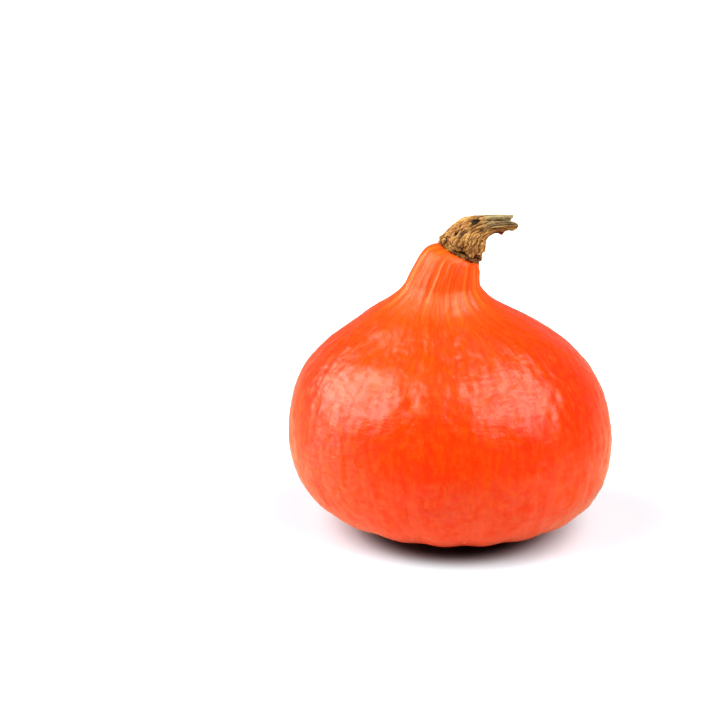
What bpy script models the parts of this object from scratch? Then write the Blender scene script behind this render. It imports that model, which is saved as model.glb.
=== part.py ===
"""Onion-shaped winter squash with its dried, hooked stem, for Blender 4.5.

Metres, +Z up. The squash stands on the flat ring round its blossom end, on z = 0, and the origin is
below the middle of its belly. +X is the side that the stem hooks over to.

Both solids are lofts: a row of round sections, each with its own height, radius, lean and tilt, joined by
a smooth curve. The ribs, pleats and furrows are then raised from that surface along its normals.
"""

import math

import bmesh
import bpy
from mathutils import Vector

MM = 0.001

# The fruit's sections in mm, from the blossom end up: height of the centre, radius, lean towards +X, and
# tilt towards +X in degrees.
BLOSSOM_SECTIONS = [
    (1.7, 3.2, 2.0, 0),
    (2.1, 5.6, 2.0, 0),
    (2.6, 7.6, 2.0, 0),
    (1.6, 11.6, 2.0, 0),
    (0.3, 15.6, 2.0, 0),
]
FOOT_RING_RADII = (17.0, 26.0)
FOOT_RING_LEAN = 2.0
BELLY_SECTIONS = [
    (0.9, 35.0, 2.0, 0),
    (5.0, 54.0, 2.0, 0),
    (14.0, 70.6, 1.3, 0),
    (28.0, 79.8, 0.6, 0),
    (46.0, 83.5, -0.3, 0),
    (64.0, 81.6, -0.8, 0),
    (80.0, 75.5, -1.5, 0),
    (94.0, 63.6, -1.8, 0),
    (105.0, 49.0, -2.6, 0),
    (112.5, 37.6, -5.2, 0),
    (119.0, 27.1, -6.1, 0),
    (126.0, 20.1, -5.5, 0),
    (132.0, 18.0, -4.2, 3),
    (136.0, 16.8, -2.9, 7),
    (139.4, 15.4, -1.7, 13),
    (142.0, 14.0, -0.1, 19),
    (143.2, 12.2, 2.4, 25),
]
SEAT_HEIGHT, SEAT_RADIUS, SEAT_LEAN, SEAT_TILT = 143.2, 11.0, 3.5, 26

# The stem's sections in mm, from its foot out to the torn tip. Height and lean are measured from the
# middle of the seat.
STEM_FOOT_RADIUS = 10.4
STEM_SECTIONS = [
    (0.7, 10.7, -0.1, 26),
    (3.1, 11.0, 0.5, 24),
    (6.1, 11.0, 2.1, 26),
    (8.5, 10.5, 3.6, 31),
    (10.8, 9.6, 5.6, 38),
    (12.7, 8.4, 8.2, 47),
    (14.1, 7.0, 11.2, 56),
    (15.1, 5.7, 15.2, 67),
    (15.6, 5.0, 19.6, 77),
    (15.9, 4.4, 24.3, 85),
]
STEM_SWAY = 3.0  # how far the tip swings towards +Y
STEM_GAP = 0.3  # between the skin's seat and the stem's foot
PITH_RADII = (3.2, 1.9)  # of the hollow in the torn tip, at its rim and inside
PITH_DEPTHS = (1.6, 5.0)

# Relief of the fruit's skin: how many go round, how deep they are in mm, and the heights in mm between
# which they fade in and out.
RIBS, RIB_DEPTH, RIB_RISE, RIB_FALL = 10, 0.55, (6, 30), (96, 118)
RIB_CREST, RIB_LEFT_ON_NECK = 0.4, 0.3  # shares of the depth
PLEATS, PLEAT_DEPTH, PLEAT_RISE, PLEAT_FALL = 24, 0.32, (108, 124), (140.5, 143.2)
FOLDS, FOLD_DEPTH, FOLD_RISE, FOLD_FALL = 18, 0.45, (0.3, 3.5), (6, 26)
SWELLS = [(2, 0.7, 0.5), (3, 0.6, 2.2), (5, 0.3, 4.1)]  # waves round, depth, phase
SWELL_RISE, SWELL_FALL = (1, 30), (100, 122)

# Relief of the stem. Shares are of its length, from 0 at the foot to 1 at the tip.
FURROWS, FURROW_DEPTH, FURROW_TWIST = 8, 1.0, 0.5
FURROW_CREST, FURROW_LEFT_AT_TIP = 0.4, 0.45
LOBES, LOBE_DEPTH, LOBE_FALL = 6, 1.1, (0.02, 0.3)
KNOBS, KNOB_ROWS, KNOB_DEPTH, KNOB_FALL = 5, 2.2, 0.5, (0.5, 0.8)
RELIEF_RISE = (-0.02, 0.06)
PITS = [(0.34, 222, 1.6, 1.6), (0.64, 220, 1.3, 1.8)]  # share, angle in degrees, depth, radius
BARK_FLAP = (0.89, 352, -2.0, 1.8)  # as a pit that stands out, below the tip
TORN_LOBES = [(-72, 4.8, 40), (80, 1.6, 32), (180, 2.9, 44)]  # angle, length, half width in degrees
TORN_RISE = (0.78, 1.0)

FRUIT_SEGMENTS, FRUIT_STEPS = 96, 2
STEM_SEGMENTS, STEM_STEPS = 56, 3

SKIN_COLOUR, SKIN_ROUGHNESS = (0.90, 0.085, 0.006, 1.0), 0.35
CORK_COLOUR, CORK_ROUGHNESS = (0.46, 0.27, 0.12, 1.0), 0.9


def smooth_step(low, high, value):
    """0 below low, 1 above high, and an S-curve between them."""
    share = min(1.0, max(0.0, (value - low) / (high - low)))
    return share * share * (3 - 2 * share)


def between(sections, steps):
    """The sections with further ones between them, on a centripetal Catmull-Rom curve."""
    points = [Vector(section).freeze() for section in sections]
    points = [2 * points[0] - points[1], *points, 2 * points[-1] - points[-2]]
    knots = [0.0]
    for a, b in zip(points, points[1:]):
        knots.append(knots[-1] + math.sqrt((b - a).length))
    made = []
    for i in range(1, len(points) - 2):
        p0, p1, p2, p3 = points[i - 1 : i + 3]
        t0, t1, t2, t3 = knots[i - 1 : i + 3]
        for step in range(steps):
            t = t1 + (t2 - t1) * step / steps
            a1 = p0.lerp(p1, (t - t0) / (t1 - t0))
            a2 = p1.lerp(p2, (t - t1) / (t2 - t1))
            a3 = p2.lerp(p3, (t - t2) / (t3 - t2))
            b1 = a1.lerp(a2, (t - t0) / (t2 - t0))
            b2 = a2.lerp(a3, (t - t1) / (t3 - t1))
            made.append(b1.lerp(b2, (t - t1) / (t2 - t1)))
    made.append(points[-2])
    return made


def ring_points(section, segments, sway=0.0):
    """The points of one round section, in metres."""
    height, radius, lean, tilt = section
    slope = math.radians(tilt)
    for i in range(segments):
        angle = 2 * math.pi * i / segments
        across = radius * math.cos(angle)
        yield MM * Vector(
            (
                lean + across * math.cos(slope),
                sway + radius * math.sin(angle),
                height - across * math.sin(slope),
            )
        )


def loft(rings, first_pole, last_pole):
    """A closed bmesh through the rings, with a fan at each end. Also gives the rings' vertices."""
    mesh = bmesh.new()
    rows = [[mesh.verts.new(point) for point in ring] for ring in rings]
    for low, high in zip(rows, rows[1:]):
        for i in range(len(low)):
            j = (i + 1) % len(low)
            mesh.faces.new((low[i], low[j], high[j], high[i]))
    for row, pole, order in ((rows[0], first_pole, -1), (rows[-1], last_pole, 1)):
        tip = mesh.verts.new(pole)
        for i in range(len(row)):
            edge = (row[i], row[(i + 1) % len(row)])[::order]
            mesh.faces.new((*edge, tip))
    mesh.normal_update()
    return mesh, rows


def finish(name, mesh, colour, roughness):
    """Turns the bmesh into a smooth-shaded object with its own material."""
    bmesh.ops.recalc_face_normals(mesh, faces=mesh.faces)
    data = bpy.data.meshes.new(name)
    mesh.to_mesh(data)
    mesh.free()
    data.shade_smooth()
    data.set_sharp_from_angle(angle=math.radians(50))
    material = bpy.data.materials.new(name + "_surface")
    material.use_nodes = True
    shader = material.node_tree.nodes["Principled BSDF"]
    shader.inputs["Base Color"].default_value = colour
    shader.inputs["Roughness"].default_value = roughness
    shader.inputs["Metallic"].default_value = 0.0
    data.materials.append(material)
    made = bpy.data.objects.new(name, data)
    bpy.context.scene.collection.objects.link(made)
    return made


def skin_relief(angle, height):
    """How far the skin stands out of the smooth onion shape, in mm.

    The sines inside the cosines make the pleats and folds unevenly wide.
    """
    valley = 1 - abs(math.sin(RIBS * angle / 2))
    rib = (RIB_CREST - valley * valley) * smooth_step(*RIB_RISE, height)
    rib *= 1 - (1 - RIB_LEFT_ON_NECK) * smooth_step(*RIB_FALL, height)
    pleat = math.cos(PLEATS * angle + 0.7 * math.sin(3 * angle))
    pleat *= smooth_step(*PLEAT_RISE, height) * (1 - smooth_step(*PLEAT_FALL, height))
    fold = math.cos(FOLDS * angle + 1.1 * math.sin(2 * angle + 1))
    fold *= smooth_step(*FOLD_RISE, height) * (1 - smooth_step(*FOLD_FALL, height))
    swell = sum(depth * math.cos(waves * angle + phase) for waves, depth, phase in SWELLS)
    swell *= smooth_step(*SWELL_RISE, height) * (1 - smooth_step(*SWELL_FALL, height))
    return RIB_DEPTH * rib + PLEAT_DEPTH * pleat + FOLD_DEPTH * fold + swell


def make_fruit():
    """The fruit, one solid from its blossom scar to the seat under the stem."""
    under = [Vector(section) for section in BLOSSOM_SECTIONS]
    under += [Vector((0, radius, FOOT_RING_LEAN, 0)) for radius in FOOT_RING_RADII]
    skin = between(BELLY_SECTIONS, FRUIT_STEPS)
    seat = Vector((SEAT_HEIGHT, SEAT_RADIUS, SEAT_LEAN, SEAT_TILT))
    rings = [ring_points(section, FRUIT_SEGMENTS) for section in [*under, *skin, seat]]
    scar_middle = MM * Vector((FOOT_RING_LEAN, 0, BLOSSOM_SECTIONS[0][0]))
    seat_middle = MM * Vector((SEAT_LEAN, 0, SEAT_HEIGHT))
    mesh, rows = loft(rings, scar_middle, seat_middle)
    for row, section in zip(rows[len(under) :], skin):
        for i, vertex in enumerate(row):
            relief = skin_relief(2 * math.pi * i / FRUIT_SEGMENTS, section[0])
            vertex.co += vertex.normal * relief * MM
    return finish("fruit", mesh, SKIN_COLOUR, SKIN_ROUGHNESS)


def cork_relief(angle, share):
    """How far the cork stands out of the smooth horn, in mm.

    The sines inside the others make the furrows and lobes unevenly wide.
    """
    twist = angle + FURROW_TWIST * share
    furrow = abs(math.sin(FURROWS * twist / 2 + 0.4 * math.sin(2 * twist))) - 1 + FURROW_CREST
    furrow *= 1 - (1 - FURROW_LEFT_AT_TIP) * share
    lobe = math.cos(LOBES * angle + 0.8 * math.sin(angle + 1))
    lobe *= 1 - smooth_step(*LOBE_FALL, share)
    knob = math.cos(KNOBS * angle + 2) * math.cos(2 * math.pi * KNOB_ROWS * share + 3 * angle)
    knob *= 1 - smooth_step(*KNOB_FALL, share)
    relief = FURROW_DEPTH * furrow + LOBE_DEPTH * lobe + KNOB_DEPTH * knob
    return relief * smooth_step(*RELIEF_RISE, share)


def torn_length(angle):
    """How far the torn edge reaches past the last section, in mm."""
    length = 0.0
    for degrees, reach, half_width in TORN_LOBES:
        off = (math.degrees(angle) - degrees + 180) % 360 - 180
        length += reach * math.exp(-((off / half_width) ** 2))
    return length


def place_pits(bark):
    """The pits and the flap of bark: the point each is round, its depth in mm, and its radius."""
    for share, degrees, depth, radius in [*PITS, BARK_FLAP]:
        row = bark[round(share * (len(bark) - 1))]
        centre = row[round(degrees / 360 * STEM_SEGMENTS)].co.copy()
        yield centre, depth, radius * MM


def pit_depth(point, pits):
    """How deep the pits in the cork are at this point, in mm."""
    return sum(
        depth * math.exp(-(((point - centre).length / radius) ** 2))
        for centre, depth, radius in pits
    )


def make_stem():
    """The stem, one solid from its foot on the seat to the hollow in its torn tip."""
    seat = Vector((SEAT_HEIGHT, 0, SEAT_LEAN, 0))
    slope = math.radians(SEAT_TILT)
    lift = STEM_GAP * Vector((math.cos(slope), 0, math.sin(slope), 0))
    under = Vector((SEAT_HEIGHT, STEM_FOOT_RADIUS, SEAT_LEAN, SEAT_TILT)) + lift
    sections = between([Vector(section) + seat for section in STEM_SECTIONS], STEM_STEPS)
    tip = sections[-1]
    shares = [i / (len(sections) - 1) for i in range(len(sections))]
    rings = [list(ring_points(under, STEM_SEGMENTS))]
    for section, share in zip(sections, shares):
        rings.append(list(ring_points(section, STEM_SEGMENTS, STEM_SWAY * share * share)))
    for radius, depth in zip(PITH_RADII, PITH_DEPTHS):
        inner = Vector((tip[0], radius, tip[2] - depth, tip[3]))
        rings.append(list(ring_points(inner, STEM_SEGMENTS, STEM_SWAY)))
    foot_middle = MM * Vector((under[2], 0, under[0]))
    pith_end = MM * Vector((tip[2] - PITH_DEPTHS[-1], STEM_SWAY, tip[0]))
    mesh, rows = loft(rings, foot_middle, pith_end)
    bark = rows[1 : len(sections) + 1]
    pits = list(place_pits(bark))
    for row, share in zip(bark, shares):
        for i, vertex in enumerate(row):
            angle = 2 * math.pi * i / STEM_SEGMENTS
            relief = cork_relief(angle, share) - pit_depth(vertex.co, pits)
            vertex.co += vertex.normal * relief * MM
            vertex.co.x += torn_length(angle) * smooth_step(*TORN_RISE, share) * MM
    return finish("stem", mesh, CORK_COLOUR, CORK_ROUGHNESS)


def main():
    for old in list(bpy.data.objects):
        bpy.data.objects.remove(old)
    make_fruit()
    make_stem()


main()
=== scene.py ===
# Looks of the onion-shaped squash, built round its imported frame: a waxy, orange-red skin and a corky stem.
# Sizes are in millimetres unless a name says otherwise, and become metres where the meshes are made.
import math

import bpy
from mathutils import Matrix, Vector


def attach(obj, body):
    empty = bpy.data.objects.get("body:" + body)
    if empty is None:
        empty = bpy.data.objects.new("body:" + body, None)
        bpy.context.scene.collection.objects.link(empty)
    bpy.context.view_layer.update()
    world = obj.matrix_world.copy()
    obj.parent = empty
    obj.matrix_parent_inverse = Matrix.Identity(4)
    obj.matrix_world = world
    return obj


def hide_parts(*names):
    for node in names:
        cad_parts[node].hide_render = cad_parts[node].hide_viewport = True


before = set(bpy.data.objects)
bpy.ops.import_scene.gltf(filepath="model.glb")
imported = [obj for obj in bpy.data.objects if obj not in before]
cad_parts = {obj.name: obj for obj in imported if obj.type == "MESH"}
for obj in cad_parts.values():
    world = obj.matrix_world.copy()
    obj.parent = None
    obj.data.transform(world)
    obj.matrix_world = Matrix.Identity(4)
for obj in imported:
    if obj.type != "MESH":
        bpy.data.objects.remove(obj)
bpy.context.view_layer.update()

mm = 0.001
print("frame loaded:", sorted(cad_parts))


# node wiring, used by the geometry trees and the materials

class Wire:
    # one node output, which can be used in a formula like a number
    def __init__(self, tree, socket):
        self.tree = tree
        self.socket = socket

    def do(self, operation, *others):
        return calc(self.tree, operation, self, *others)

    def __add__(self, other):
        return self.do("ADD", other)

    def __sub__(self, other):
        return self.do("SUBTRACT", other)

    def __mul__(self, other):
        return self.do("MULTIPLY", other)

    def __truediv__(self, other):
        return self.do("DIVIDE", other)

    def __rsub__(self, other):
        return calc(self.tree, "SUBTRACT", other, self)

    __radd__ = __add__
    __rmul__ = __mul__


def plug(tree, value, socket):
    if isinstance(value, Wire):
        tree.links.new(value.socket, socket)
    elif isinstance(value, bpy.types.NodeSocket):
        tree.links.new(value, socket)
    else:
        socket.default_value = value


def put(tree, kind, sockets=None, **settings):
    # a new node with its settings, and what goes into its sockets by name or number
    node = tree.nodes.new(kind)
    for key, value in settings.items():
        setattr(node, key, value)
    for key, value in (sockets or {}).items():
        plug(tree, value, node.inputs[key])
    return node


def calc(tree, operation, *values):
    node = put(tree, "ShaderNodeMath", dict(enumerate(values)), operation=operation)
    return Wire(tree, node.outputs[0])


def smooth(wire, low, high):
    # 0 below low, 1 above high, and an S-curve between them
    sockets = {"Value": wire, "From Min": low, "From Max": high}
    node = put(wire.tree, "ShaderNodeMapRange", sockets, interpolation_type="SMOOTHSTEP")
    return Wire(wire.tree, node.outputs["Result"])


def bellCurve(wire, width):
    return calc(wire.tree, "EXPONENT", (wire / width) * (wire / width) * -1.0)


def vector(tree, x, y, z):
    return put(tree, "ShaderNodeCombineXYZ", {0: x, 1: y, 2: z}).outputs[0]


def noise(tree, where, scale, detail=2.0, roughness=0.5, distortion=0.0):
    sockets = {
        "Vector": where,
        "Scale": scale,
        "Detail": detail,
        "Roughness": roughness,
        "Distortion": distortion,
    }
    return Wire(tree, put(tree, "ShaderNodeTexNoise", sockets).outputs["Fac"])


def cells(tree, where, scale, feature="F1"):
    sockets = {"Vector": where, "Scale": scale}
    return Wire(tree, put(tree, "ShaderNodeTexVoronoi", sockets, feature=feature).outputs["Distance"])


def scaled(tree, way, amount):
    return put(tree, "ShaderNodeVectorMath", {0: way, "Scale": amount}, operation="SCALE").outputs[0]


def added(tree, first, second):
    return put(tree, "ShaderNodeVectorMath", {0: first, 1: second}, operation="ADD").outputs[0]


def measured(tree, operation, *ways):
    # a number made from one or two vectors, such as their DISTANCE
    node = put(tree, "ShaderNodeVectorMath", dict(enumerate(ways)), operation=operation)
    return Wire(tree, node.outputs["Value"])


mixSockets = {"RGBA": (6, 7, 2), "VECTOR": (4, 5, 1)}  # a Mix node's two inputs and its output, by kind


def mixed(tree, kind, amount, first, second):
    one, two, result = mixSockets[kind]
    return put(tree, "ShaderNodeMix", {0: amount, one: first, two: second}, data_type=kind).outputs[result]


# geometry trees

def newTree(name, inputs):
    # a geometry tree whose inputs are named, with their default values, and None for a material
    tree = bpy.data.node_groups.new(name, "GeometryNodeTree")
    tree.interface.new_socket("Geometry", in_out="INPUT", socket_type="NodeSocketGeometry")
    tree.interface.new_socket("Geometry", in_out="OUTPUT", socket_type="NodeSocketGeometry")
    kinds = {int: "NodeSocketInt", float: "NodeSocketFloat", type(None): "NodeSocketMaterial"}
    for label, value in inputs.items():
        socket = tree.interface.new_socket(label, in_out="INPUT", socket_type=kinds[type(value)])
        if value is not None:
            socket.default_value = value
    return tree, tree.nodes.new("NodeGroupInput"), tree.nodes.new("NodeGroupOutput")


def given(tree, source, label):
    return Wire(tree, source.outputs[label])


def readAttribute(tree, name, kind="FLOAT"):
    node = put(tree, "GeometryNodeInputNamedAttribute", {"Name": name}, data_type=kind)
    return Wire(tree, node.outputs["Attribute"])


def storeAttribute(tree, geometry, name, value, kind="FLOAT"):
    sockets = {"Geometry": geometry, "Name": name, "Value": value}
    node = put(tree, "GeometryNodeStoreNamedAttribute", sockets, data_type=kind, domain="POINT")
    return node.outputs["Geometry"]


# ringShare is how far along a ring is: a share of the stem's length, and metres up the fruit's skin
railFields = ("ringRadius", "ringTilt", "ringLean", "ringSway", "ringHeight", "ringShare")


def buildRingSweep():
    # rings of vertices, one for each evenly spaced point of a rail, closed with a fan at both ends
    tree, source, result = newTree("ringSweep", {"Around": 64, "Along": 64})
    around = given(tree, source, "Around")
    along = given(tree, source, "Along")
    rail = put(tree, "GeometryNodeMeshToCurve", {"Mesh": source.outputs["Geometry"]}).outputs[0]
    rail = put(tree, "GeometryNodeResampleCurve", {"Curve": rail, "Count": along + 1.0}).outputs[0]
    sockets = {"Vertices": around, "Side Segments": along, "Fill Segments": 1, "Radius": 1.0, "Depth": 2.0}
    drum = put(tree, "GeometryNodeMeshCylinder", sockets, fill_type="TRIANGLE_FAN")
    spot = put(tree, "ShaderNodeSeparateXYZ", {0: put(tree, "GeometryNodeInputPosition").outputs[0]})
    x, y, z = (Wire(tree, socket) for socket in spot.outputs)
    index = ((z + 1.0) * 0.5 * along).do("ROUND")
    turn = y.do("ARCTAN2", x)
    outer = smooth(x * x + y * y, 0.4, 0.6)  # 0 at the middle of both fans
    geometry = storeAttribute(tree, drum.outputs["Mesh"], "turn", turn)
    geometry = storeAttribute(tree, geometry, "outer", outer)
    for field in railFields:
        sockets = {"Geometry": rail, "Value": readAttribute(tree, field), "Index": index}
        sampled = put(tree, "GeometryNodeSampleIndex", sockets, data_type="FLOAT", domain="POINT", clamp=True)
        geometry = storeAttribute(tree, geometry, field, sampled.outputs[0])
    radius, tilt, lean, sway, height, share = (readAttribute(tree, field) for field in railFields)
    turn = readAttribute(tree, "turn")
    radius = radius * readAttribute(tree, "outer")
    across = radius * turn.do("COSINE")
    place = vector(
        tree,
        lean + across * tilt.do("COSINE"),
        sway + radius * turn.do("SINE"),
        height - across * tilt.do("SINE"),
    )
    geometry = put(tree, "GeometryNodeSetPosition", {"Geometry": geometry, "Position": place}).outputs[0]
    plug(tree, geometry, result.inputs[0])
    return tree


def sweep(tree, source, sweepTree):
    node = put(tree, "GeometryNodeGroup", node_tree=sweepTree)
    for label in ("Geometry", "Around", "Along"):
        tree.links.new(source.outputs[label], node.inputs[label])
    return node.outputs["Geometry"]


def shifted(tree, geometry, shift):
    return put(tree, "GeometryNodeSetPosition", {"Geometry": geometry, "Offset": shift}).outputs[0]


def normalWay(tree):
    return put(tree, "GeometryNodeInputNormal").outputs[0]


def raised(tree, geometry, height, way):
    # moves every point by its height, in millimetres, along the way
    return shifted(tree, geometry, scaled(tree, way, height * mm))


def endTree(tree, source, result, geometry):
    geometry = put(tree, "GeometryNodeSetShadeSmooth", {0: geometry}).outputs[0]
    geometry = put(tree, "GeometryNodeRealizeInstances", {0: geometry}).outputs[0]
    sockets = {"Geometry": geometry, "Material": source.outputs["Material"]}
    plug(tree, put(tree, "GeometryNodeSetMaterial", sockets).outputs[0], result.inputs[0])


def smoothSections(rows, steps):
    # the rows with further ones between them, on the same centripetal curve as the solids' sections
    points = [Vector(row).freeze() for row in rows]
    points = [2 * points[0] - points[1], *points, 2 * points[-1] - points[-2]]
    knots = [0.0]
    for a, b in zip(points, points[1:]):
        knots.append(knots[-1] + math.sqrt((b - a).length))
    made = []
    for i in range(1, len(points) - 2):
        p0, p1, p2, p3 = points[i - 1 : i + 3]
        t0, t1, t2, t3 = knots[i - 1 : i + 3]
        for step in range(steps):
            t = t1 + (t2 - t1) * step / steps
            a1 = p0.lerp(p1, (t - t0) / (t1 - t0))
            a2 = p1.lerp(p2, (t - t1) / (t2 - t1))
            a3 = p2.lerp(p3, (t - t2) / (t3 - t2))
            b1 = a1.lerp(a2, (t - t0) / (t2 - t0))
            b2 = a2.lerp(a3, (t - t1) / (t3 - t1))
            made.append(b1.lerp(b2, (t - t1) / (t2 - t1)))
    made.append(points[-2])
    return made


def makeRail(name, points, fields):
    # a line of vertices that carries each ring's radius, tilt and place for the sweep
    mesh = bpy.data.meshes.new(name)
    edges = [(i, i + 1) for i in range(len(points) - 1)]
    mesh.from_pydata([Vector(point) * mm for point in points], edges, [])
    for label, values in zip(railFields, fields):
        mesh.attributes.new(label, "FLOAT", "POINT").data.foreach_set("value", values)
    rail = bpy.data.objects.new(name, mesh)
    bpy.context.scene.collection.objects.link(rail)
    return rail


def grow(rail, tree, values):
    # runs the tree on the rail, and turns what it makes into a plain mesh at the origin
    modifier = rail.modifiers.new(tree.name, "NODES")
    modifier.node_group = tree
    identifiers = {item.name: item.identifier for item in tree.interface.items_tree if item.in_out == "INPUT"}
    for label, value in values.items():
        modifier[identifiers[label]] = value
    evaluated = rail.evaluated_get(bpy.context.evaluated_depsgraph_get())
    mesh = bpy.data.meshes.new_from_object(evaluated)
    rail.modifiers.remove(modifier)
    bare = rail.data
    rail.data = mesh
    bpy.data.meshes.remove(bare)
    mesh.name = rail.name
    print(rail.name, "has", len(mesh.vertices), "vertices and", len(mesh.polygons), "faces")
    return rail


# shader groups that both finishes use

def newShaderGroup(name, inputs, outputs):
    tree = bpy.data.node_groups.new(name, "ShaderNodeTree")
    for label, value in inputs.items():
        kind = "NodeSocketVector" if value is None else "NodeSocketFloat"
        socket = tree.interface.new_socket(label, in_out="INPUT", socket_type=kind)
        if value is not None:
            socket.default_value = value
    for label in outputs:
        tree.interface.new_socket(label, in_out="OUTPUT", socket_type="NodeSocketFloat")
    return tree, tree.nodes.new("NodeGroupInput"), tree.nodes.new("NodeGroupOutput")


def buildMottle():
    # soft patches with a ragged edge, from 0 to 1
    inputs = {"Vector": None, "Scale": 10.0, "Detail": 4.0, "Low": 0.4, "High": 0.6}
    tree, source, result = newShaderGroup("mottle", inputs, ["Mask"])
    sockets = {label: source.outputs[label] for label in ("Vector", "Scale", "Detail")}
    patches = put(tree, "ShaderNodeTexNoise", {**sockets, "Roughness": 0.6}).outputs["Fac"]
    mask = smooth(Wire(tree, patches), source.outputs["Low"], source.outputs["High"])
    plug(tree, mask, result.inputs["Mask"])
    return tree


def mapped(tree, where, scale=(1, 1, 1), location=(0, 0, 0)):
    sockets = {"Vector": where, "Scale": scale, "Location": location}
    return put(tree, "ShaderNodeMapping", sockets).outputs[0]


def mottle(tree, where, pattern):
    # a pattern is its scale, its stretch, its offset, the noise where it starts and ends, and its detail
    scale, stretch, offset, low, high, detail = pattern
    where = mapped(tree, where, stretch, offset)
    sockets = {"Vector": where, "Scale": scale, "Detail": detail, "Low": low, "High": high}
    node = put(tree, "ShaderNodeGroup", node_tree=mottleGroup)
    for label, value in sockets.items():
        plug(tree, value, node.inputs[label])
    return Wire(tree, node.outputs["Mask"])


def mixColour(tree, amount, first, second):
    return mixed(tree, "RGBA", amount, first, second)


def newMaterial(name):
    material = bpy.data.materials.new(name)
    material.use_nodes = True
    tree = material.node_tree
    return material, tree, tree.nodes["Principled BSDF"]


def readVector(tree, name):
    return put(tree, "ShaderNodeAttribute", attribute_name=name).outputs["Vector"]


def readNumber(tree, name):
    return Wire(tree, put(tree, "ShaderNodeAttribute", attribute_name=name).outputs["Fac"])


ringSweep = buildRingSweep()
mottleGroup = buildMottle()


# the camera, at the photograph's viewing angle

view = {
    "lens": 109.3,
    "sensorWidth": 36.0,
    "place": (-0.0473, -1.0824, 0.3974),  # metres
    "elevation": 16.0,  # degrees above the horizon
}


def makeCamera():
    data = bpy.data.cameras.new("camera")
    data.lens = view["lens"]
    data.sensor_width = view["sensorWidth"]
    camera = bpy.data.objects.new("camera", data)
    camera.location = view["place"]
    camera.rotation_euler = (math.radians(90 - view["elevation"]), 0, 0)
    bpy.context.scene.collection.objects.link(camera)
    bpy.context.scene.camera = camera


makeCamera()


# the fruit: smooth onion shape, then ribs, pleats, folds and swells, then dents and fine wrinkles

fruit = {
    # height of the ring's centre, radius, lean towards +X, tilt in degrees
    "blossom": [
        (1.7, 3.2, 2.0, 0),
        (2.1, 5.6, 2.0, 0),
        (2.6, 7.6, 2.0, 0),
        (1.6, 11.6, 2.0, 0),
        (0.3, 15.6, 2.0, 0),
    ],
    "footRing": [(0, 17.0, 2.0, 0), (0, 26.0, 2.0, 0)],
    "belly": [
        (0.9, 35.0, 2.0, 0),
        (5.0, 54.0, 2.0, 0),
        (14.0, 70.6, 1.3, 0),
        (28.0, 79.8, 0.6, 0),
        (46.0, 83.5, -0.3, 0),
        (64.0, 81.6, -0.8, 0),
        (80.0, 75.5, -1.5, 0),
        (94.0, 63.6, -1.8, 0),
        (105.0, 49.0, -2.6, 0),
        (112.5, 37.6, -5.2, 0),
        (119.0, 27.1, -6.1, 0),
        (126.0, 20.1, -5.5, 0),
        (132.0, 18.0, -4.2, 3),
        (136.0, 16.8, -2.9, 7),
        (139.4, 15.4, -1.7, 13),
        (142.0, 14.0, -0.1, 19),
        (143.2, 12.2, 2.4, 25),
    ],
    "seat": (143.2, 11.0, 3.5, 26),
    "swells": [(2, 0.7, 0.5), (3, 0.6, 2.2), (5, 0.3, 4.1)],  # waves round, depth, phase
    "ribRise": (6, 30),
    "ribFall": (96, 118),
    "ribCrest": 0.4,
    "ribLeftOnNeck": 0.3,
    # how far pleats and folds wander round, in how many waves, and the waves' phase
    "pleatDrift": (0.7, 3.0, 0.0),
    "foldDrift": (1.1, 2.0, 1.0),
    "pleatRise": (108, 124),
    "pleatFall": (140.5, 143.2),
    "pleatPatch": (2.0, 0.03, 0.3, 0.65),  # scale round and up, and the noise where pleats start and end
    "foldRise": (0.3, 3.5),
    "foldFall": (6, 26),
    "swellRise": (1, 30),
    "swellFall": (100, 122),
    # noises of the hammered skin: scale, detail, roughness, distortion
    "dent": (0.07, 1.0, 0.5, 0.0),
    "pucker": (0.17, 1.5, 0.5, 0.15),
    "wrinkle": (0.27, 2.0, 0.55, 0.2),
    "wrinklePatch": (0.04, 1.0),
    "dimplePatch": (0.09, 1.0),
    "patchEdge": (0.4, 0.6),
    "wrinkleLeast": 0.35,  # share of the wrinkles' depth between their patches
    "dimpleScale": 0.16,
    "dimpleWidth": 0.38,
    "dimpleEdge": (0.42, 0.6),
    "puckerTall": 0.55,  # stretches puckers upright
    "wrinkleLong": 0.42,  # stretches wrinkles round the fruit
    "dentsRise": (3, 22),
    "dentsEase": (100, 122),
    "dentsEased": 0.5,  # share of their depth that the dents lose on the way up to the neck
    "dentsFall": (136, 142),
    "girth": 83.5,  # radius of the belly, which scales what goes round
    "sunk": 0.42,  # keeps what stands out of the dented skin inside the smooth one
    "inputs": {
        "Around": 396,
        "Along": 250,
        "Ribs": 10,
        "Rib Depth": 0.42,
        "Pleats": 24,
        "Pleat Depth": 0.3,
        "Folds": 18,
        "Fold Depth": 0.45,
        "Dent Depth": 0.85,
        "Pucker Depth": 0.85,
        "Wrinkle Depth": 0.8,
        "Dimple Depth": 0.16,
        "Seed": 4.0,
    },
}


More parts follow.
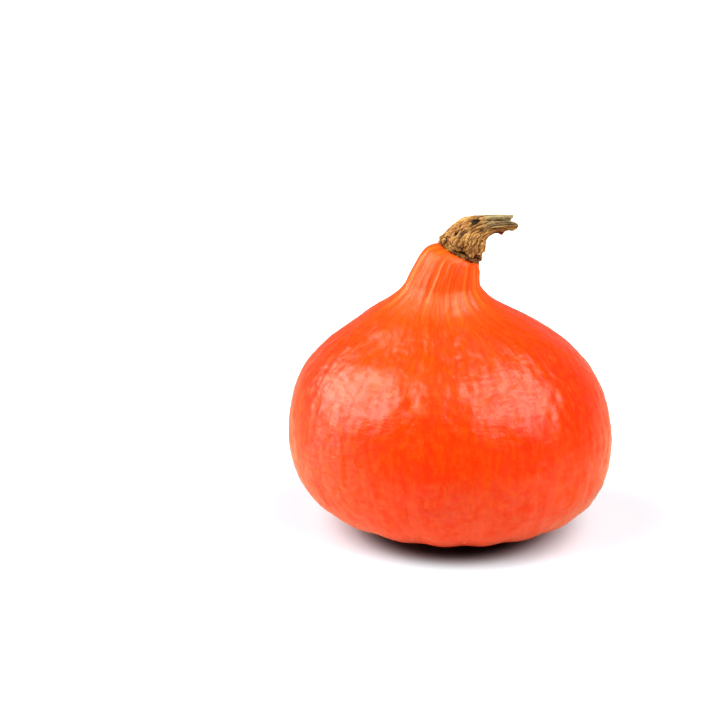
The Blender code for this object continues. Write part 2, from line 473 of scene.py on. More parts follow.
def skinRelief(tree, source, turn, height):
    # how far the skin stands out of the smooth onion shape, in millimetres, by the solids' own rule
    ribs = given(tree, source, "Ribs")
    valley = 1.0 - (turn * ribs * 0.5).do("SINE").do("ABSOLUTE")
    rib = (fruit["ribCrest"] - valley * valley) * smooth(height, *fruit["ribRise"])
    rib = rib * (1.0 - (1 - fruit["ribLeftOnNeck"]) * smooth(height, *fruit["ribFall"]))
    drift, waves, phase = fruit["pleatDrift"]
    pleat = (given(tree, source, "Pleats") * turn + drift * (turn * waves + phase).do("SINE")).do("COSINE")
    scaleRound, scaleUp, start, end = fruit["pleatPatch"]
    where = vector(tree, turn.do("COSINE") * scaleRound, turn.do("SINE") * scaleRound, height * scaleUp)
    pleat = pleat * smooth(noise(tree, where, 1.0, 1.0), start, end)
    pleat = pleat * smooth(height, *fruit["pleatRise"]) * (1.0 - smooth(height, *fruit["pleatFall"]))
    drift, waves, phase = fruit["foldDrift"]
    fold = (given(tree, source, "Folds") * turn + drift * (turn * waves + phase).do("SINE")).do("COSINE")
    fold = fold * smooth(height, *fruit["foldRise"]) * (1.0 - smooth(height, *fruit["foldFall"]))
    swell = 0.0
    for waves, depth, phase in fruit["swells"]:
        swell = (turn * float(waves) + phase).do("COSINE") * depth + swell
    swell = swell * smooth(height, *fruit["swellRise"]) * (1.0 - smooth(height, *fruit["swellFall"]))
    relief = rib * given(tree, source, "Rib Depth")
    relief = relief + pleat * given(tree, source, "Pleat Depth")
    relief = relief + fold * given(tree, source, "Fold Depth")
    return relief + swell


def skinDents(tree, source, turn, arc, height):
    # shallow dents, upright puckers, short level wrinkles and dimples pull the highlights about
    far = given(tree, source, "Seed") * 100.0  # another place in the noise for each seed
    across = turn.do("COSINE") * fruit["girth"]
    away = turn.do("SINE") * fruit["girth"]
    even = vector(tree, across, away + far, arc)
    tall = vector(tree, across, away, arc * fruit["puckerTall"] - far)
    level = vector(tree, across * fruit["wrinkleLong"], away * fruit["wrinkleLong"], arc + far)
    dent = noise(tree, even, *fruit["dent"]) - 0.5
    pucker = noise(tree, tall, *fruit["pucker"]) - 0.5
    wrinkle = noise(tree, level, *fruit["wrinkle"]) - 0.5
    patch = smooth(noise(tree, even, *fruit["wrinklePatch"]), *fruit["patchEdge"])
    dimple = 1.0 - smooth(cells(tree, tall, fruit["dimpleScale"]), 0.0, fruit["dimpleWidth"])
    dimple = dimple * smooth(noise(tree, level, *fruit["dimplePatch"]), *fruit["dimpleEdge"])
    relief = dent * given(tree, source, "Dent Depth") - dimple * given(tree, source, "Dimple Depth")
    relief = relief + pucker * given(tree, source, "Pucker Depth")
    least = fruit["wrinkleLeast"]
    relief = relief + wrinkle * (least + patch * (1 - least)) * given(tree, source, "Wrinkle Depth")
    body = smooth(height, *fruit["dentsRise"])
    body = body * (1.0 - fruit["dentsEased"] * smooth(height, *fruit["dentsEase"]))
    body = body * (1.0 - smooth(height, *fruit["dentsFall"]))
    return (relief - fruit["sunk"]) * body


def buildSquashSkin():
    tree, source, result = newTree("squashSkin", {**fruit["inputs"], "Material": None})
    geometry = sweep(tree, source, ringSweep)
    turn = readAttribute(tree, "turn")
    height = readAttribute(tree, "ringHeight") / mm
    arc = readAttribute(tree, "ringShare") / mm
    outer = readAttribute(tree, "outer")
    relief = skinRelief(tree, source, turn, height) * outer
    geometry = raised(tree, geometry, relief, normalWay(tree))
    dents = skinDents(tree, source, turn, arc, height) * outer
    geometry = raised(tree, geometry, dents, normalWay(tree))
    # for the material: the way round the fruit, and how far up the skin, in belly radii
    meridian = vector(tree, turn.do("COSINE"), turn.do("SINE"), arc / fruit["girth"])
    geometry = storeAttribute(tree, geometry, "meridian", meridian, "FLOAT_VECTOR")
    endTree(tree, source, result, geometry)
    return tree


def fruitRail():
    scar, seat = fruit["blossom"][0], fruit["seat"]
    rows = [(scar[0], 0.0, scar[2], 0)]
    rows += smoothSections(fruit["blossom"], 4)
    rows += fruit["footRing"]
    rows += smoothSections(fruit["belly"], 8)
    rows += [seat, (seat[0], 0.0, seat[2], seat[3])]
    heights, radii, leans, tilts = zip(*rows)
    points = [Vector((radius, 0, height)) for radius, height in zip(radii, heights)]
    arcs = [0.0]
    for a, b in zip(points, points[1:]):
        arcs.append(arcs[-1] + (b - a).length)
    fields = [
        [radius * mm for radius in radii],
        [math.radians(tilt) for tilt in tilts],
        [lean * mm for lean in leans],
        [0.0] * len(rows),
        [height * mm for height in heights],
        [arc * mm for arc in arcs],
    ]
    return makeRail("squashSkin", points, fields)


skinLook = {
    "deep": (0.76, 0.024, 0.0006, 1),
    "main": (0.78, 0.037, 0.0008, 1),
    "warm": (0.80, 0.068, 0.001, 1),
    "neck": (0.80, 0.082, 0.001, 1),
    "neckStreak": (0.84, 0.16, 0.006, 1),
    "fleck": (0.84, 0.17, 0.025, 1),
    # browner, and paler with painted bounce light from the floor
    "low": (0.78, 0.045, 0.003, 1),
    "darkLowPatch": (0.56, 0.042, 0.006, 1),
    "scar": (0.42, 0.27, 0.13, 1),
    # masks of the colour and the wax: scale, stretch, offset, start, end, detail
    "patches": (20.0, (1, 1, 1), (0, 0, 0), 0.36, 0.66, 4.0),
    "fine": (27.0, (1, 1, 0.55), (0, 0, 0), 0.42, 0.68, 3.0),
    "dark": (15.0, (1, 1, 0.6), (3, 0, 0), 0.5, 0.74, 3.0),
    "streak": (11.0, (1, 1, 0.07), (0, 0, 0), 0.45, 0.7, 4.0),
    "yellowStreak": (6.5, (1, 1, 0.13), (0, 5, 0), 0.5, 0.66, 3.0),
    "redStreak": (8.0, (1, 1, 0.13), (5, 5, 0), 0.5, 0.64, 3.0),
    "flecks": (210.0, (1, 1, 0.6), (0, 0, 0), 0.68, 0.8, 1.0),
    "fleckPatches": (40.0, (1, 1, 1), (0, 0, 0), 0.5, 0.62, 4.0),
    "lowStreak": (19.0, (1, 1, 0.2), (0, 0, 7), 0.42, 0.66, 4.0),
    "darkLowPatches": (75.0, (1, 1, 1.5), (0, 0, 0), 0.56, 0.74, 3.0),
    "dapples": (16.0, (1, 1, 0.4), (0, 2, 2), 0.44, 0.66, 3.5),
    "dashes": (13.0, (1, 1, 2.8), (2, 2, 0), 0.46, 0.64, 3.5),
    # heights where something starts and ends
    "highPart": (80, 128),
    "neckPart": (109, 130),
    "lowPart": (6, 42),
    "darkLowPatchPart": (14, 46),
    "scarRim": (6.5, 9.5),  # distances from the middle of the scar
    "scarHeight": (4, 6),
    "scarLean": -0.002,  # metres
    "scarRagged": 4.0,
    "roughness": (0.17, 0.33),
    "specular": 0.17,
    "wax": 0.5,
    "waxRoughness": 0.24,
    "subsurface": 0.06,
    "subsurfaceRadius": (1.0, 0.25, 0.1),
    "subsurfaceScale": 0.003,
    "bumpStrength": 0.6,
    "bumpDistance": 0.0005,
}


def makeSkinMaterial():
    material, tree, shader = newMaterial("squashSkin")
    here = put(tree, "ShaderNodeTexCoord").outputs["Object"]
    along = readVector(tree, "meridian")
    height = Wire(tree, put(tree, "ShaderNodeSeparateXYZ", {0: here}).outputs["Z"]) / mm
    high = smooth(height, *skinLook["highPart"])
    neck = smooth(height, *skinLook["neckPart"])
    colour = skinColour(tree, here, along, height, high, neck)
    scar = scarMask(tree, here, height)
    plug(tree, mixColour(tree, scar, colour, skinLook["scar"]), shader.inputs["Base Color"])
    smoothest, roughest = skinLook["roughness"]
    rough = noise(tree, here, 70.0, 4.0, 0.6) * (roughest - smoothest) + smoothest
    plug(tree, rough + scar * 0.4 + neck * 0.22, shader.inputs["Roughness"])
    bump = {"Strength": skinLook["bumpStrength"], "Distance": skinLook["bumpDistance"]}
    bump["Height"] = skinGrain(tree, here, along)
    plug(tree, put(tree, "ShaderNodeBump", bump).outputs["Normal"], shader.inputs["Normal"])
    # a coat of wax with dull dapples and dashes in it
    dull = mottle(tree, along, skinLook["dapples"]) * 0.75
    gloss = (1.0 - dull - mottle(tree, along, skinLook["dashes"]) * 0.7).do("MAXIMUM", 0.0)
    plug(tree, gloss * (1.0 - neck * 0.3) * skinLook["wax"], shader.inputs["Coat Weight"])
    shader.inputs["Coat Roughness"].default_value = skinLook["waxRoughness"]
    shader.inputs["Specular IOR Level"].default_value = skinLook["specular"]
    shader.inputs["Subsurface Weight"].default_value = skinLook["subsurface"]
    shader.inputs["Subsurface Radius"].default_value = skinLook["subsurfaceRadius"]
    shader.inputs["Subsurface Scale"].default_value = skinLook["subsurfaceScale"]
    return material


def skinColour(tree, here, along, height, high, neck):
    # broad patches, and a fine mottle that is longer than wide
    colour = mixColour(tree, mottle(tree, here, skinLook["patches"]), skinLook["deep"], skinLook["main"])
    colour = mixColour(tree, mottle(tree, along, skinLook["fine"]) * 0.65, colour, skinLook["warm"])
    colour = mixColour(tree, mottle(tree, along, skinLook["dark"]) * 0.55, colour, skinLook["deep"])
    # streaks that run from the stem to the blossom, brighter towards the neck
    streak = mottle(tree, along, skinLook["streak"]) * (0.25 + high * 0.4)
    colour = mixColour(tree, streak, colour, skinLook["warm"])
    colour = mixColour(tree, high * 0.25, colour, skinLook["warm"])
    colour = mixColour(tree, neck * 0.8, colour, skinLook["neck"])
    yellow = mottle(tree, along, skinLook["yellowStreak"]) * neck
    colour = mixColour(tree, yellow * 0.75, colour, skinLook["neckStreak"])
    red = mottle(tree, along, skinLook["redStreak"]) * neck
    colour = mixColour(tree, red * 0.6, colour, skinLook["main"])
    # pale flecks, and the lower part: browner, and paler with painted bounce light from the floor
    flecks = mottle(tree, here, skinLook["flecks"]) * mottle(tree, here, skinLook["fleckPatches"])
    colour = mixColour(tree, flecks * 0.3, colour, skinLook["fleck"])
    low = 0.3 + mottle(tree, along, skinLook["lowStreak"]) * 0.6
    low = low * (1.0 - smooth(height, *skinLook["lowPart"]))
    colour = mixColour(tree, low, colour, skinLook["low"])
    # darker brown patches low on the fruit
    darkLowPatch = mottle(tree, here, skinLook["darkLowPatches"]) * (1.0 - smooth(height, *skinLook["darkLowPatchPart"]))
    return mixColour(tree, darkLowPatch * 0.5, colour, skinLook["darkLowPatch"])


def scarMask(tree, here, height):
    # 1 on the corky scar under the fruit
    centred = mapped(tree, here, location=(skinLook["scarLean"], 0, 0))
    flat = put(tree, "ShaderNodeVectorMath", {0: centred, 1: (1, 1, 0)}, operation="MULTIPLY").outputs[0]
    ragged = (noise(tree, here, 500.0, 3.0) - 0.5) * skinLook["scarRagged"]
    span = measured(tree, "LENGTH", flat) / mm + ragged
    return (1.0 - smooth(span, *skinLook["scarRim"])) * (1.0 - smooth(height, *skinLook["scarHeight"]))


def skinGrain(tree, here, along):
    # short level wrinkles in patches, thin upright ones, a fine crinkle and pores
    patch = smooth(noise(tree, mapped(tree, here, location=(0.3, 0, 0)), 28.0, 2.0), 0.38, 0.6)
    level = noise(tree, mapped(tree, along, (1, 1, 2.4)), 19.0, 2.0, 0.55, 1.0) * (patch * 0.6 + 0.2)
    upright = noise(tree, mapped(tree, along, (1, 1, 0.3)), 30.0, 2.0)
    crinkle = noise(tree, mapped(tree, along, (1, 1, 2.0)), 45.0, 3.0, 0.6, 0.6)
    pores = noise(tree, here, 1100.0, 2.0, 0.5)
    return level + upright * 0.35 + crinkle * 0.3 + pores * 0.08


def makeSkin():
    skin = grow(fruitRail(), buildSquashSkin(), {**fruit["inputs"], "Material": makeSkinMaterial()})
    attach(skin, "root")
    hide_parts("fruit")


makeSkin()


# the stem: a hooked horn of cork with a lobed foot, furrows, pits and a torn, hollow tip

stem = {
    # height and lean of the ring's centre from the middle of the seat, its radius, and its tilt in degrees
    "rings": [
        (0.7, 10.7, -0.1, 26),
        (3.1, 11.0, 0.5, 24),
        (6.1, 11.0, 2.1, 26),
        (8.5, 10.5, 3.6, 31),
        (10.8, 9.6, 5.6, 38),
        (12.7, 8.4, 8.2, 47),
        (14.1, 7.0, 11.2, 56),
        (15.1, 5.7, 15.2, 67),
        (15.6, 5.0, 19.6, 77),
        (15.9, 4.4, 24.3, 85),
    ],
    "footRadius": 10.8,
    "footSwell": 0.75,  # makes up for the lumps and the crease, which all go inwards
    "sunk": 0.45,  # keeps the strands of the tip inside the smooth horn
    "gap": 0.12,  # between the seat and the stem's foot
    "sway": 3.0,  # how far the tip swings towards +Y
    "twist": 0.5,  # how far the furrows turn on their way to the tip, in radians
    "pith": [(3.2, 1.6), (1.9, 5.0)],  # radius and depth of the hollow's rings
    "pithFloor": 0.4,  # how much deeper the middle of the hollow is
    # what the rings below the foot and in the hollow have as their share of the horn's length
    "underShares": (-0.04, -0.02),
    "hollowShares": (1.1, 1.2, 1.3),
    # share of the horn's length, degrees round it, depth or reach, radius
    "pits": [(0.34, 224, 2.2, 1.6), (0.62, 224, 1.7, 1.1), (0.66, 219, 1.4, 1.0)],
    "bumps": [(0.89, 352, 2.0, 1.8), (0.98, 325, 0.9, 1.0), (0.13, 197, 0.9, 2.0), (0.06, 345, 0.9, 2.0)],
    # degrees round the horn, reach past the last ring, half the width in degrees
    "tornLobes": [(-68, 4.9, 40), (80, 1.6, 32), (178, 2.9, 58)],
    # shares of the horn's length between which something starts or ends
    "tornRise": (0.78, 1.0),
    "tornFall": (1.0, 1.12),
    "barkRise": (-0.04, 0.0),
    "barkFall": (1.04, 1.2),
    "straightOut": (0.86, 0.97),
    "lobeFall": (0.02, 0.3),
    "knobFall": (0.5, 0.8),
    "reliefRise": (-0.02, 0.06),
    "lumpFall": (0.16, 0.5),
    "strandScale": (5.6, 3.2),  # round the horn and along it
    "thinScale": (13.0, 5.0),
    "lumpScale": 270.0,
    "creaseAt": 0.075,
    "creaseWidth": 0.022,
    # radians clockwise of +X, where the crease is deepest and the lumps end lowest
    "creaseSide": 0.9,
    "inputs": {
        "Around": 260,
        "Along": 270,
        "Furrows": 8,
        "Furrow Depth": 1.0,
        "Lobes": 6,
        "Lobe Depth": 1.1,
        "Knobs": 5,
        "Knob Depth": 0.5,
        "Strand Depth": 0.8,
        "Split Depth": 0.7,
        "Lump Depth": 1.0,
        "Crease Depth": 0.7,
        "Fray": 1.1,
        "Seed": 7.0,
    },
}


def stemSections(steps):
    height, _, lean, _ = fruit["seat"]
    rows = [(row[0] + height, row[1], row[2] + lean, row[3]) for row in stem["rings"]]
    return smoothSections(rows, steps)


def ringPoint(section, turn, sway=0.0):
    height, radius, lean, tilt = section
    slope = math.radians(tilt)
    across = radius * math.cos(turn)
    x = lean + across * math.cos(slope)
    return Vector((x, sway + radius * math.sin(turn), height - across * math.sin(slope)))


def corkRelief(tree, source, turn, share):
    # how far the cork stands out of the smooth horn, in millimetres, by the solids' own rule
    twist = turn + share * stem["twist"]
    furrow = (given(tree, source, "Furrows") * twist * 0.5 + 0.4 * (twist * 2.0).do("SINE")).do("SINE")
    furrow = (furrow.do("ABSOLUTE") - 0.6) * (1.0 - 0.55 * share)
    lobe = (given(tree, source, "Lobes") * turn + 0.8 * (turn + 1.0).do("SINE")).do("COSINE")
    lobe = lobe * (1.0 - smooth(share, *stem["lobeFall"]))
    knob = (given(tree, source, "Knobs") * turn + 2.0).do("COSINE")
    knob = knob * (share * (2 * math.pi * 2.2) + turn * 3.0).do("COSINE")
    knob = knob * (1.0 - smooth(share, *stem["knobFall"]))
    relief = furrow * given(tree, source, "Furrow Depth")
    relief = relief + lobe * given(tree, source, "Lobe Depth")
    relief = relief + knob * given(tree, source, "Knob Depth")
    return relief * smooth(share, *stem["reliefRise"])


def bellAt(tree, spot, radius):
    # 1 at a spot of the horn and less round it: the spot is its share of the length and its degrees round
    share, degrees = spot
    sections = stemSections(3)
    section = sections[round(share * (len(sections) - 1))]
    middle = ringPoint(section, math.radians(degrees), stem["sway"] * share * share) * mm
    place = put(tree, "GeometryNodeInputPosition").outputs[0]
    return bellCurve(measured(tree, "DISTANCE", place, middle), radius * mm)


def tornLength(tree, turn):
    # how far the torn edge reaches past the last ring, in millimetres
    total = 0.0
    for degrees, reach, halfWidth in stem["tornLobes"]:
        off = (turn - math.radians(degrees) + math.pi).do("FLOORED_MODULO", 2 * math.pi) - math.pi
        width = math.radians(halfWidth)
        total = bellCurve(off * off / width, width) * reach + total  # a bell with a blunt top
    return total


def corkDetail(tree, source, turn, share):
    # strands and splits along the horn, lumps round its foot, and a crease above the foot's lip
    seed = given(tree, source, "Seed")
    strandDepth = given(tree, source, "Strand Depth")
    splitDepth = given(tree, source, "Split Depth")
    place = put(tree, "GeometryNodeInputPosition").outputs[0]
    # strands that bend a little on their way
    where = vector(tree, turn.do("COSINE") * 1.5, turn.do("SINE") * 1.5, share * 4.0)
    bend = (noise(tree, where, 1.0, 2.0) - 0.5) * 1.5
    twist = turn + share * stem["twist"] + bend * 0.35
    x, y = twist.do("COSINE"), twist.do("SINE")
    scaleRound, scaleAlong = stem["strandScale"]
    where = vector(tree, x * scaleRound + seed, y * scaleRound, share * scaleAlong)
    strand = (noise(tree, where, 1.0, 2.0, 0.5) - 0.5).do("ABSOLUTE")
    split = 1.0 - smooth(strand, 0.0, 0.075)
    ridge = smooth(strand, 0.0, 0.22)
    scaleRound, scaleAlong = stem["thinScale"]
    where = vector(tree, x * scaleRound, y * scaleRound + seed, share * scaleAlong)
    thin = noise(tree, where, 1.0, 2.0, 0.6) - 0.5
    thinSplit = 1.0 - smooth(thin.do("ABSOLUTE"), 0.0, 0.05)
    # lumps, as cells with bent edges, which reach further up on one side
    warp = put(tree, "ShaderNodeTexNoise", {"Vector": place, "Scale": 170.0, "Detail": 3.0}).outputs["Color"]
    edge = cells(tree, added(tree, place, scaled(tree, warp, 0.006)), stem["lumpScale"], "DISTANCE_TO_EDGE")
    facing = (turn + stem["creaseSide"]).do("COSINE")
    lumpy = 1.0 - smooth(share + facing * 0.08, *stem["lumpFall"])
    gap = (1.0 - smooth(edge, 0.0, 0.12)) * lumpy
    crease = bellCurve(share - stem["creaseAt"], stem["creaseWidth"]) * smooth(facing, -0.1, 0.5)
    calm = 1.0 - 0.55 * lumpy
    relief = (ridge - 1.0) * strandDepth * calm - split * splitDepth * 0.6 * calm
    relief = relief - thinSplit * splitDepth * 0.4 + thin * 0.35
    relief = relief + (smooth(edge, 0.0, 0.5) - 1.0) * lumpy * given(tree, source, "Lump Depth")
    relief = relief - crease * given(tree, source, "Crease Depth")
    relief = relief + (noise(tree, place, 1100.0, 3.0, 0.6) - 0.5) * 0.35
    relief = relief + stem["footSwell"] - smooth(share, 0.25, 0.6) * (stem["footSwell"] + stem["sunk"])
    # the mask of painted shade: the splits, the gaps between lumps and the crease
    dark = (split * calm).do("MAXIMUM", thinSplit * 0.6).do("MAXIMUM", gap).do("MAXIMUM", crease)
    # the last mask is for a painted highlight on the strands' crests
    return relief, dark, ridge * (1.0 - gap)


def buildSquashStem():
    tree, source, result = newTree("squashStem", {**stem["inputs"], "Material": None})
    geometry = sweep(tree, source, ringSweep)
    turn = readAttribute(tree, "turn")
    share = readAttribute(tree, "ringShare")
    outer = readAttribute(tree, "outer")
    bark = (1.0 - smooth(share, *stem["barkFall"])) * outer
    # out of the surface, and near the tip, where the wall is thin, straight out of the horn's middle
    tilt = readAttribute(tree, "ringTilt")
    across = turn.do("COSINE")
    outwards = vector(tree, across * tilt.do("COSINE"), turn.do("SINE"), across * tilt.do("SINE") * -1.0)
    way = mixed(tree, "VECTOR", smooth(share, *stem["straightOut"]), normalWay(tree), outwards)
    pit = 0.0
    pitDepth = 0.0
    for at, degrees, depth, radius in stem["pits"]:
        bell = bellAt(tree, (at, degrees), radius)
        pit = bell + pit
        pitDepth = bell * depth + pitDepth
    bump = 0.0
    for at, degrees, reach, radius in stem["bumps"]:
        bump = bellAt(tree, (at, degrees), radius) * reach + bump
    # the pits' mask, for their painted shade
    geometry = storeAttribute(tree, geometry, "pit", pit)
    relief = corkRelief(tree, source, turn, share) - pitDepth + bump
    geometry = raised(tree, geometry, relief * bark, way)
    detail, dark, crestHighlight = corkDetail(tree, source, turn, share)
    # painted shade in the splits, gaps and crease
    geometry = storeAttribute(tree, geometry, "creviceShade", dark)
    geometry = storeAttribute(tree, geometry, "crestHighlight", crestHighlight)
    geometry = raised(tree, geometry, detail * bark * smooth(share, *stem["barkRise"]), way)
    # the torn edge
    where = vector(tree, turn.do("COSINE") * 5.0, turn.do("SINE") * 5.0, given(tree, source, "Seed"))
    fray = noise(tree, where, 1.1, 5.0, 0.75) - 0.5
    torn = tornLength(tree, turn) + fray * given(tree, source, "Fray") * 2.0
    torn = torn * smooth(share, *stem["tornRise"]) * (1.0 - smooth(share, *stem["tornFall"])) * outer
    geometry = shifted(tree, geometry, vector(tree, torn * mm, 0.0, 0.0))
    along = vector(tree, turn.do("COSINE"), turn.do("SINE"), share)
    geometry = storeAttribute(tree, geometry, "strandWay", along, "FLOAT_VECTOR")
    endTree(tree, source, result, geometry)
    return tree


def stemRail():
    seatHeight, _, seatLean, seatTilt = fruit["seat"]
    slope = math.radians(seatTilt)
    underHeight = seatHeight + stem["gap"] * math.cos(slope)
    underLean = seatLean + stem["gap"] * math.sin(slope)
    rows = [(underHeight, 0.0, underLean, seatTilt), (underHeight, stem["footRadius"], underLean, seatTilt)]
    shares = [*stem["underShares"]]
    sections = stemSections(12)
    rows += sections
    shares += [i / (len(sections) - 1) for i in range(len(sections))]
    tip = sections[-1]
    for radius, depth in stem["pith"]:
        rows.append((tip[0], radius, tip[2] - depth, tip[3]))
    deepest = stem["pith"][-1][1]
    rows.append((tip[0], 0.0, tip[2] - deepest - stem["pithFloor"], tip[3]))
    shares += stem["hollowShares"]
    heights, radii, leans, tilts = zip(*rows)
    sways = [stem["sway"] * min(1.0, max(0.0, share)) ** 2 for share in shares]
    fields = [
        [radius * mm for radius in radii],
        [math.radians(tilt) for tilt in tilts],
        [lean * mm for lean in leans],
        [sway * mm for sway in sways],
        [height * mm for height in heights],
        shares,
    ]
    # the rail runs along the outer side of the horn, so that the rings are evenly spaced there
    points = [ringPoint(row, math.pi, sway) for row, sway in zip(rows, sways)]
    return makeRail("squashStem", points, fields)


corkLook = {
    "ridge": (0.54, 0.255, 0.07, 1),
    "pale": (0.76, 0.45, 0.16, 1),
    "brown": (0.20, 0.075, 0.022, 1),
    # near-black painted shade for the splits, pits and hollow
    "creviceShade": (0.022, 0.011, 0.006, 1),
    "grey": (0.30, 0.275, 0.17, 1),
    "olive": (0.34, 0.20, 0.035, 1),
    "foot": (0.20, 0.036, 0.012, 1),
    # masks: scale, stretch, offset, start, end, detail
    "patches": (1.3, (7, 7, 5), (0, 0, 0), 0.38, 0.66, 4.0),
    "blotches": (260.0, (1, 1, 1), (0, 0, 0), 0.45, 0.72, 4.0),
    "fibres": (1.0, (26, 26, 5), (0, 0, 0), 0.42, 0.66, 4.0),
    "weathered": (160.0, (1, 1, 1), (0, 0, 0), 0.28, 0.5, 4.0),
    # shares of the horn's length where a part starts and ends
    "greyPart": (0.62, 0.86),
    "olivePart": (0.04, 0.16),
    "redPart": (0.03, 0.11),
    # where the painted shade of the hollow starts and ends
    "hollowPart": (1.03, 1.15),
    "roughness": (0.72, 0.92),
    "specular": 0.3,
    "bumpStrength": 0.7,
    "bumpDistance": 0.0004,
}


def makeCorkMaterial():
    material, tree, shader = newMaterial("squashCork")
    here = put(tree, "ShaderNodeTexCoord").outputs["Object"]
    along = readVector(tree, "strandWay")
    plug(tree, corkColour(tree, here, along), shader.inputs["Base Color"])
    smoothest, roughest = corkLook["roughness"]
    rough = noise(tree, here, 300.0, 3.0) * (roughest - smoothest) + smoothest
    plug(tree, rough, shader.inputs["Roughness"])
    fibres = noise(tree, mapped(tree, along, (60, 60, 14)), 1.0, 3.0, 0.65)
    grit = noise(tree, here, 2600.0, 3.0, 0.6)
    bump = {"Strength": corkLook["bumpStrength"], "Distance": corkLook["bumpDistance"]}
    bump["Height"] = fibres * 0.6 + grit * 0.4
    plug(tree, put(tree, "ShaderNodeBump", bump).outputs["Normal"], shader.inputs["Normal"])
    shader.inputs["Specular IOR Level"].default_value = corkLook["specular"]
    return material


def corkColour(tree, here, along):
    place = put(tree, "ShaderNodeSeparateXYZ", {0: along})
    share = Wire(tree, place.outputs["Z"])
    side = Wire(tree, place.outputs["X"])
    # painted shade in the splits, gaps and crease, weaker near the tip
    creviceShade = readNumber(tree, "creviceShade") * (1.0 - smooth(share, 0.7, 0.9) * 0.4)
    colour = mixColour(tree, mottle(tree, along, corkLook["patches"]), corkLook["ridge"], corkLook["pale"])
    colour = mixColour(tree, mottle(tree, here, corkLook["blotches"]) * 0.5, colour, corkLook["brown"])
    colour = mixColour(tree, mottle(tree, along, corkLook["fibres"]) * 0.7, colour, corkLook["brown"])
    # painted highlight: paler on the strands' crests
    colour = mixColour(tree, smooth(readNumber(tree, "crestHighlight"), 0.6, 1.0) * 0.35, colour, corkLook["pale"])
    # grey towards the tip, olive at the left of the foot, and red at its right
    grey = smooth(share, *corkLook["greyPart"]) * (1.0 - smooth(side, -0.2, 0.7))
    grey = grey * mottle(tree, here, corkLook["weathered"])
    colour = mixColour(tree, grey * 0.85, colour, corkLook["grey"])
    olive = (1.0 - smooth(share, *corkLook["olivePart"])) * (1.0 - smooth(side, -0.2, 0.5))
    colour = mixColour(tree, olive * 0.7, colour, corkLook["olive"])
    red = (1.0 - smooth(share, *corkLook["redPart"])) * smooth(side, -0.3, 0.4)
    colour = mixColour(tree, red * 0.75, colour, corkLook["foot"])
    # painted shade: the splits, pits and hollow darkened
    colour = mixColour(tree, smooth(creviceShade, 0.05, 0.6) * 0.8, colour, corkLook["brown"])
    colour = mixColour(tree, smooth(creviceShade, 0.45, 1.0), colour, corkLook["creviceShade"])
    colour = mixColour(tree, smooth(readNumber(tree, "pit"), 0.42, 0.9), colour, corkLook["creviceShade"])
    return mixColour(tree, smooth(share, *corkLook["hollowPart"]) * 0.9, colour, corkLook["creviceShade"])


def makeStem():
    cork = grow(stemRail(), buildSquashStem(), {**stem["inputs"], "Material": makeCorkMaterial()})
    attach(cork, "root")
    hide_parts("stem")


makeStem()


# the floor, and a white studio with two very large soft boxes

studio = {
    "floorRadius": 4.0,  # metres
    "floorColour": (0.64, 0.72, 0.90, 1),
    "bounce": (0.70, 0.63, 0.46, 1),  # the floor as the fruit sees it
    # the dark spot where the fruit stands is a painted contact shadow: narrower from side to side, it turns
    # pale between two radii
    "spotNarrowed": 1.35,
    "paintedShadowEdge": (0.049, 0.073),  # metres
    "spot": (0.008, 0.035, 0.045, 1),
    "coolEdge": (0.06, 0.105),  # metres, as below
    "paintedCoolShadow": (0.46, 0.67, 0.84, 1),
    "patches": (3.0, (1, 1, 1), (0, 0, 0), 0.3, 0.7, 4.0),
    "floorRoughness": 0.3,
    "dark": (0.03, 0.03, 0.03, 1),  # what the fruit mirrors further out
    "darkInFront": (0.11, 0.26),
    "darkAround": (0.05, 0.4, 0.55),  # start, end, strength
    "glow": (1, 0.97, 0.985, 1),
    # painted light: the floor's glow rises just outside the painted shadow
    "glowNear": (0.06, 0.1, 0.24),
    "glowFar": (0.1, 0.5, 0.5),
    "softboxes": [
        # the way to its middle, its turn in degrees, half its width and height for each metre away,
        # its brightness and its colour
        ((-0.82, -0.045, 0.58), 38, (0.65, 0.455), 7.3, (1.0, 0.96, 0.80)),
        ((0.565, -0.32, 0.755), -25, (0.46, 0.52), 6.3, (1.0, 0.96, 0.80)),
    ],
    "softEdge": 0.12,
    "gloom": 0.05,  # brightness of the rest of the room
    "backdrop": 0.15,
}


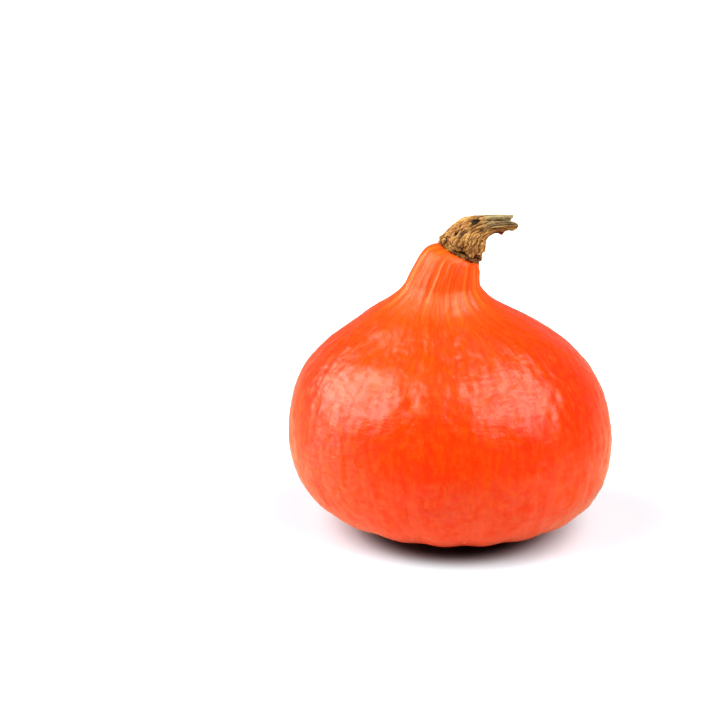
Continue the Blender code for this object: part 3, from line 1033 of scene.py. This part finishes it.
def makeFloor():
    mesh = bpy.data.meshes.new("floor")
    reach, count = studio["floorRadius"], 96
    turns = [2 * math.pi * i / count for i in range(count)]
    corners = [(reach * math.cos(turn), reach * math.sin(turn), 0) for turn in turns]
    mesh.from_pydata(corners, [], [tuple(range(count))])
    floor = bpy.data.objects.new("floor", mesh)
    bpy.context.scene.collection.objects.link(floor)
    material, tree, shader = newMaterial("paleFloor")
    here = put(tree, "ShaderNodeTexCoord").outputs["Object"]
    away = measured(tree, "LENGTH", here)
    paler = tuple(value * 1.02 for value in studio["floorColour"][:3]) + (1,)
    shade = mixColour(tree, mottle(tree, here, studio["patches"]), studio["floorColour"], paler)
    spot = measured(tree, "LENGTH", mapped(tree, here, (studio["spotNarrowed"], 1, 1)))
    seen = Wire(tree, put(tree, "ShaderNodeLightPath").outputs["Is Camera Ray"])
    # round the painted contact shadow, a painted cool grey shadow that takes the fruit's red glow out of it
    shade = mixColour(tree, (1.0 - smooth(spot, *studio["coolEdge"])) * seen, shade, studio["paintedCoolShadow"])
    # the painted contact shadow, a dark spot that only the camera sees
    shade = mixColour(tree, (1.0 - smooth(spot, *studio["paintedShadowEdge"])) * seen, shade, studio["spot"])
    # apart from the painted shadow, the camera sees the floor pale all over, but the fruit mirrors a dark
    # room in front of the table
    shade = mixColour(tree, 1.0 - seen, shade, studio["bounce"])
    near = measured(tree, "DOT_PRODUCT", here, (0, -1, 0))
    start, end, strength = studio["darkAround"]
    mirrored = smooth(near, *studio["darkInFront"]).do("MAXIMUM", smooth(away, start, end) * strength)
    shade = mixColour(tree, mirrored * (1.0 - seen), shade, studio["dark"])
    plug(tree, shade, shader.inputs["Base Color"])
    shader.inputs["Roughness"].default_value = studio["floorRoughness"]
    shader.inputs["Emission Color"].default_value = studio["glow"]
    # painted light: the camera sees the floor glow, rising just outside the painted shadow and evenly white
    # further out
    glow = 0.0
    for distance, (start, end, strength) in ((spot, studio["glowNear"]), (away, studio["glowFar"])):
        glow = smooth(distance, start, end) * strength + glow
    plug(tree, glow * seen, shader.inputs["Emission Strength"])
    mesh.materials.append(material)


def softboxMask(tree, where, way, degrees, halfSize):
    # 1 inside a rectangle that hangs square to the way to its middle
    way = Vector(way).normalized()
    level = Vector((0, 0, 1)).cross(way).normalized()
    upright = way.cross(level)
    turn = math.radians(degrees)
    across = level * math.cos(turn) + upright * math.sin(turn)
    along = upright * math.cos(turn) - level * math.sin(turn)
    facing = measured(tree, "DOT_PRODUCT", where, way)
    mask = smooth(facing, 0.05, 0.1)
    for axis, half in ((across, halfSize[0]), (along, halfSize[1])):
        off = (measured(tree, "DOT_PRODUCT", where, axis) / facing.do("MAXIMUM", 0.05)).do("ABSOLUTE")
        mask = mask * (1.0 - smooth(off, half - studio["softEdge"], half + studio["softEdge"]))
    return mask


def makeSurroundings():
    # white to the camera, and a dark room with soft boxes and a pale backdrop to everything else
    world = bpy.data.worlds.new("surroundings")
    world.use_nodes = True
    tree = world.node_tree
    where = put(tree, "ShaderNodeTexCoord").outputs["Generated"]
    behind = measured(tree, "DOT_PRODUCT", where, (0, 1, 0))
    above = measured(tree, "DOT_PRODUCT", where, (0, 0, 1))
    backdrop = smooth(behind, 0.1, 0.7) * (1.0 - smooth(above, 0.15, 0.5))
    level = backdrop * studio["backdrop"] + studio["gloom"]
    light = vector(tree, level, level, level)
    for way, degrees, halfSize, brightness, colour in studio["softboxes"]:
        mask = softboxMask(tree, where, way, degrees, halfSize) * brightness
        light = added(tree, light, scaled(tree, colour, mask))
    seen = put(tree, "ShaderNodeLightPath").outputs["Is Camera Ray"]
    shade = mixColour(tree, seen, light, (1, 1, 1, 1))
    plug(tree, shade, tree.nodes["Background"].inputs["Color"])
    bpy.context.scene.world = world


makeFloor()
makeSurroundings()
bpy.context.scene.view_settings.view_transform = "Standard"
print("stage and lights are in place")
